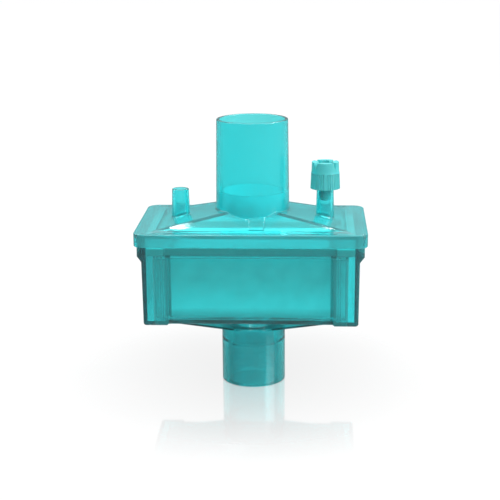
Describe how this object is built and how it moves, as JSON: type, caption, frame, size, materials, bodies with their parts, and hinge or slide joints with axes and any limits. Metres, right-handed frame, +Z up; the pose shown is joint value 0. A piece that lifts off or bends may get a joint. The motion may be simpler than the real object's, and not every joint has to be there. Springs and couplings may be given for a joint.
{
  "type": "breathing circuit filter",
  "caption": "Rectangular breathing circuit filter in clear teal plastic: pleated media, hipped lid with a round socket, coaxial connector below, sampling ports with a ribbed cap.",
  "frame": {"origin": "centre of the lower connector's mouth, in the plane that the filter stands on", "axes": "+Z up along the connectors' shared axis, towards the 22 mm socket; +X along the box's long side, towards the capped port; +Y along the short side"},
  "size_m": [0.0786, 0.047, 0.0934],
  "materials": {
    "clear_housing": "clear teal moulded plastic, polished",
    "pleated_media": "white nonwoven sheet, matt",
    "potting_adhesive": "cast adhesive, satin",
    "cap_plastic": "opaque turquoise polyethylene, satin"
  },
  "bodies": {
    "housing": {"lid": "clear_housing", "socket_tube": "clear_housing", "open_port": "clear_housing", "capped_port": "clear_housing", "filter_box": "clear_housing", "connector": "clear_housing", "filter_media": "pleated_media", "potting_frame": "potting_adhesive"},
    "cap": {"port_cap": "cap_plastic"}
  },
  "joints": [
    {"name": "cap_pull", "type": "slide", "parent": "housing", "child": "cap", "axis": [0, 0, 1], "range_m": [0, 0.012]}
  ]
}
